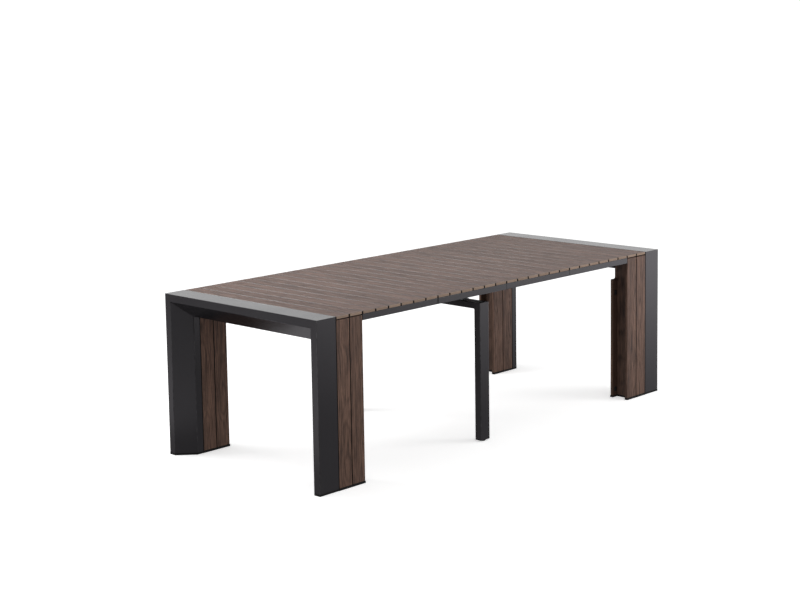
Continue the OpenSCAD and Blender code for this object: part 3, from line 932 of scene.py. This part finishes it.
def slat_row(name, body, node, first, count):
    bm = start_piece()
    for i in range(first, first + count):
        x = first_slat_x + i * SLAT_PITCH - TABLE_L / 2
        add_board(
            bm,
            (x, -TABLE_W / 2, top_underside),
            (x + SLAT_W, TABLE_W / 2, TABLE_H),
            SLAT_EASE,
            SLAT_CORNER,
        )
    finish_piece(bm, name, top_wood, body, "wood_slats", node)


def first_slat(k):
    return PORTAL_SLATS + (k - 1) * LEAF_SLATS


far_slat = first_slat(LEAVES + 1)
slat_row("near_top_boards", "near_portal", "near_top_slats", 0, PORTAL_SLATS)
for k in range(1, LEAVES + 1):
    leaf = "leaf_%d" % k
    slat_row(leaf + "_boards", leaf, leaf + "_slats", first_slat(k), LEAF_SLATS)
slat_row("far_top_boards", "far_portal", "far_top_slats", far_slat, PORTAL_SLATS)

# Aprons. A slim aluminium box tube along each side of a leaf, flush under the slat ends, coated
# like the portals and closed at its ends by caps of the same colour. Between the first two
# leaves the caps are black and have a rim, which shows as a dark joint.
APRON_W = 0.020
APRON_EASE = 0.0004
APRON_CORNER = 0.0018
CAP_LIP = 0.0002
CAP_SEAM = 0.0003
CAP_SINK = 0.0004
CAP_RIM = 0.0035
for k in range(1, LEAVES + 1):
    leaf = "leaf_%d" % k
    low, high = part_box(leaf + "_aprons")
    bm = start_piece()
    add_board(bm, low, (high[0], low[1] + APRON_W, high[2]), APRON_EASE, APRON_CORNER, 0)
    ends = [f for f in bm.faces if abs(f.normal.x) > 0.99 and f.calc_area() > 1e-4]
    bmesh.ops.inset_individual(bm, faces=ends, thickness=CAP_LIP, depth=0)
    bmesh.ops.inset_individual(bm, faces=ends, thickness=CAP_SEAM, depth=-CAP_SINK)
    if k in (1, 2):
        outward = 1 if k == 1 else -1
        rim_x = high[0] - CAP_RIM if k == 1 else low[0] + CAP_RIM
        bmesh.ops.bisect_plane(
            bm,
            geom=bm.verts[:] + bm.edges[:] + bm.faces[:],
            plane_co=(rim_x, 0, 0),
            plane_no=(1, 0, 0),
        )
        for face in bm.faces:
            if outward * (face.calc_center_median().x - rim_x) > 0:
                face.material_index = 1
    both_sides(bm)
    finish_piece(
        bm,
        leaf + "_apron_tubes",
        [charcoal, moulded_black],
        leaf,
        "charcoal_metal",
        leaf + "_aprons",
    )

# Leaf rails. Two end rails and three ribs, cut from the same tube as the aprons and coated like
# them, make each leaf a stiff frame under its slats.
for k in range(1, LEAVES + 1):
    leaf = "leaf_%d" % k
    eased_copy(
        leaf + "_rails", leaf + "_frame_rails", charcoal, leaf, "charcoal_metal", RAIL_EASE
    )

# Slides. Aluminium sections, anodised black, that run in each other's grooves on both sides.
# The first is screwed to the near portal, the last to the far one.
STAGES = 6
slide_black = coated(
    "slide_black",
    (0.008, 0.008, 0.009),
    (0.03, 0.03, 0.03),
    roughness=0.35,
    specular=0.5,
    bump=0.05,
)
stages = ["slide_stage_%d" % i for i in range(1, STAGES + 1)]
for node in ["near_fixed_slides", "far_fixed_slides"] + stages:
    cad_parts[node].data.materials.clear()
    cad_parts[node].data.materials.append(slide_black)

# Guide blocks. Small blocks of moulded black plastic, fixed under the leaf's end rails, keep it
# in line beside the slides.
GUIDE_W = 0.014
GUIDE_EASE = 0.0010
GUIDE_CORNER = 0.0025
for k in range(1, LEAVES + 1):
    leaf = "leaf_%d" % k
    low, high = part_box(leaf + "_guide_blocks")
    bm = start_piece()
    for x in (low[0], high[0] - GUIDE_W):
        corner = (x + GUIDE_W, low[1] + GUIDE_W, high[2])
        add_board(bm, (x, low[1], low[2]), corner, GUIDE_EASE, GUIDE_CORNER)
    both_sides(bm)
    finish_piece(
        bm, leaf + "_guides", moulded_black, leaf, "black_plastic", leaf + "_guide_blocks"
    )

# Centre support. Two upright aluminium tubes near the long sides, open at the foot, with a beam
# welded between them. All is coated like the portals.
TUBE_LIP = 0.0013
TUBE_WALL = 0.002
TUBE_CORNER = 0.003
TUBE_TAPER = 0.0001
BEAM_EASE = 0.0003
BEAD_R = 0.0022
BEAD_SINK = 0.0006
BEAD_SHORT = 0.005
for node in ("support_front_leg", "support_back_leg"):
    low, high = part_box(node)
    bm = start_piece()
    add_board(bm, low, high, RAIL_EASE, TUBE_CORNER)
    foot = [f for f in bm.faces if f.normal.z < -0.99 and f.calc_area() > 1e-3]
    to_top = low[2] - high[2] + TUBE_WALL
    bmesh.ops.inset_individual(bm, faces=foot, thickness=TUBE_LIP, depth=0)
    bmesh.ops.inset_individual(bm, faces=foot, thickness=TUBE_TAPER, depth=to_top)
    finish_piece(
        bm, node.replace("leg", "upright"), charcoal, "centre_support", "charcoal_metal", node
    )
low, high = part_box("support_beam")
bm = start_piece()
add_board(bm, low, high, BEAM_EASE, TUBE_CORNER, 1)
for side in (-1, 1):
    bead_place = ((low[0] + high[0]) / 2, side * (high[1] - BEAD_SINK), low[2])
    bead = bmesh.ops.create_cone(
        bm,
        cap_ends=True,
        segments=16,
        radius1=BEAD_R,
        radius2=BEAD_R,
        depth=high[0] - low[0] - BEAD_SHORT,
        matrix=Matrix.Translation(bead_place) @ Matrix.Rotation(math.pi / 2, 4, "Y"),
    )["verts"]
    for face in {f for v in bead for f in v.link_faces}:
        face.smooth = len(face.verts) == 4
finish_piece(bm, "support_crossbeam", charcoal, "centre_support", "charcoal_metal", "support_beam")

# Brackets. Two plates with a web, of aluminium anodised like the slides, are screwed down on the
# beam and carry the middle slides.
BRACKET_EASE = 0.0004
eased_copy(
    "support_brackets",
    "slide_brackets",
    slide_black,
    "centre_support",
    "black_slides",
    BRACKET_EASE,
)

# Plugs and glides. A plug of moulded black plastic closes the foot of each upright, and the
# stud of a levelling glide is screwed into it.
PLUG_EASE = 0.0005
GLIDE_R = 0.0140
STUD_R = 0.0040
eased_copy("leg_plugs", "tube_plugs", moulded_black, "centre_support", "black_plastic", PLUG_EASE)
for node in ("front_glide", "back_glide"):
    low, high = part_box(node)
    x, y = (low[0] + high[0]) / 2, (low[1] + high[1]) / 2
    stud_top = high[2]
    outline = [
        (0, 0),
        (GLIDE_R - 0.0018, 0),
        (GLIDE_R - 0.0003, 0.0008),
        (GLIDE_R, 0.0022),
        (GLIDE_R - 0.0012, 0.0040),
        (STUD_R + 0.0022, 0.0050),
        (STUD_R, 0.0052),
        (STUD_R, stud_top - 0.0008),
        (STUD_R - 0.0006, stud_top),
        (0, stud_top),
    ]
    bm = start_piece()
    line = [bm.verts.new((x + r, y, z)) for r, z in outline]
    path = [bm.edges.new(pair) for pair in zip(line, line[1:])]
    bmesh.ops.spin(
        bm,
        geom=line + path,
        cent=(x, y, 0),
        axis=(0, 0, 1),
        angle=2 * math.pi,
        steps=40,
        use_merge=True,
    )
    bmesh.ops.remove_doubles(bm, verts=bm.verts, dist=1e-6)
    bmesh.ops.recalc_face_normals(bm, faces=bm.faces)
    for face in bm.faces:
        face.smooth = abs(face.normal.z) < 0.9
    finish_piece(bm, node + "_turned", moulded_black, node, "black_plastic", node)

# Screws. Plain steel pan heads with a drive socket, from below through the rails into the slats,
# through the fixed slides into the cross rails, and down through the brackets into the beam.
SCREW_R = 0.002
SCREW_SIDES = 12
HEAD_R = 0.0032
HEAD_H = 0.0025
HEAD_ROUND = 0.0009
HEAD_SIDES = 20
SOCKET_LIP = 0.0007
SOCKET_TAPER = 0.00015
SOCKET_DEPTH = 0.0013


def add_screw(bm, x, y, z, length, up=1):
    rim_z = z - up * HEAD_H
    others = set(bm.faces)
    head = bmesh.ops.create_cone(
        bm,
        cap_ends=True,
        segments=HEAD_SIDES,
        radius1=HEAD_R,
        radius2=HEAD_R,
        depth=HEAD_H,
        matrix=Matrix.Translation((x, y, (z + rim_z) / 2)),
    )["verts"]
    edges = {e for v in head for e in v.link_edges}
    rim = [e for e in edges if all(abs(v.co.z - rim_z) < 1e-6 for v in e.verts)]
    round_edges(bm, rim, HEAD_ROUND, 3)
    faces = [f for f in bm.faces if f not in others and len(f.verts) == HEAD_SIDES]
    cap = [f for f in faces if f.normal.z * up < -0.99]
    bmesh.ops.inset_individual(bm, faces=cap, thickness=SOCKET_LIP, depth=0)
    bmesh.ops.inset_individual(bm, faces=cap, thickness=SOCKET_TAPER, depth=-SOCKET_DEPTH)
    bmesh.ops.create_cone(
        bm,
        cap_ends=True,
        segments=SCREW_SIDES,
        radius1=SCREW_R,
        radius2=SCREW_R,
        depth=length,
        matrix=Matrix.Translation((x, y, z + up * length / 2)),
    )


def slat_middle(i):
    return first_slat_x + i * SLAT_PITCH + SLAT_W / 2 - TABLE_L / 2


SLAT_SCREW = 0.035
SLIDE_SCREW = 0.0363
BRACKET_SCREW = 0.007
RIB_Y = 0.24
NEAR_SLIDE_Y = 0.27745
FAR_SLIDE_Y = 0.36145
SLIDE_Z = 0.6797
SUPPORT_X = -0.108
BRACKET_Y = 0.31615
BRACKET_TOP = 0.662
HOLE_X = 0.019
HOLE_Y = 0.016
rail_z = top_underside - RAIL_H
for end, first, slide_y in (("near", 0, NEAR_SLIDE_Y), ("far", far_slat, FAR_SLIDE_Y)):
    bm = start_piece()
    for i in range(first, first + PORTAL_SLATS):
        for y in (-RIB_Y, 0, RIB_Y):
            add_screw(bm, slat_middle(i), y, rail_z, SLAT_SCREW)
        for y in (-slide_y, slide_y):
            add_screw(bm, slat_middle(i), y, SLIDE_Z, SLIDE_SCREW)
    finish_piece(bm, end + "_pan_screws", steel, end + "_portal", "steel", end + "_screws")
for k in range(1, LEAVES + 1):
    leaf = "leaf_%d" % k
    bm = start_piece()
    for i in range(first_slat(k), first_slat(k + 1)):
        for y in (-RIB_Y, 0, RIB_Y):
            add_screw(bm, slat_middle(i), y, rail_z, SLAT_SCREW)
    finish_piece(bm, leaf + "_pan_screws", steel, leaf, "steel", leaf + "_screws")
bm = start_piece()
for side in (-1, 1):
    for dx in (-HOLE_X, HOLE_X):
        for dy in (-HOLE_Y, HOLE_Y):
            x, y = SUPPORT_X + dx, side * BRACKET_Y + dy
            add_screw(bm, x, y, BRACKET_TOP, BRACKET_SCREW, -1)
finish_piece(bm, "support_pan_screws", steel, "centre_support", "steel", "support_screws")
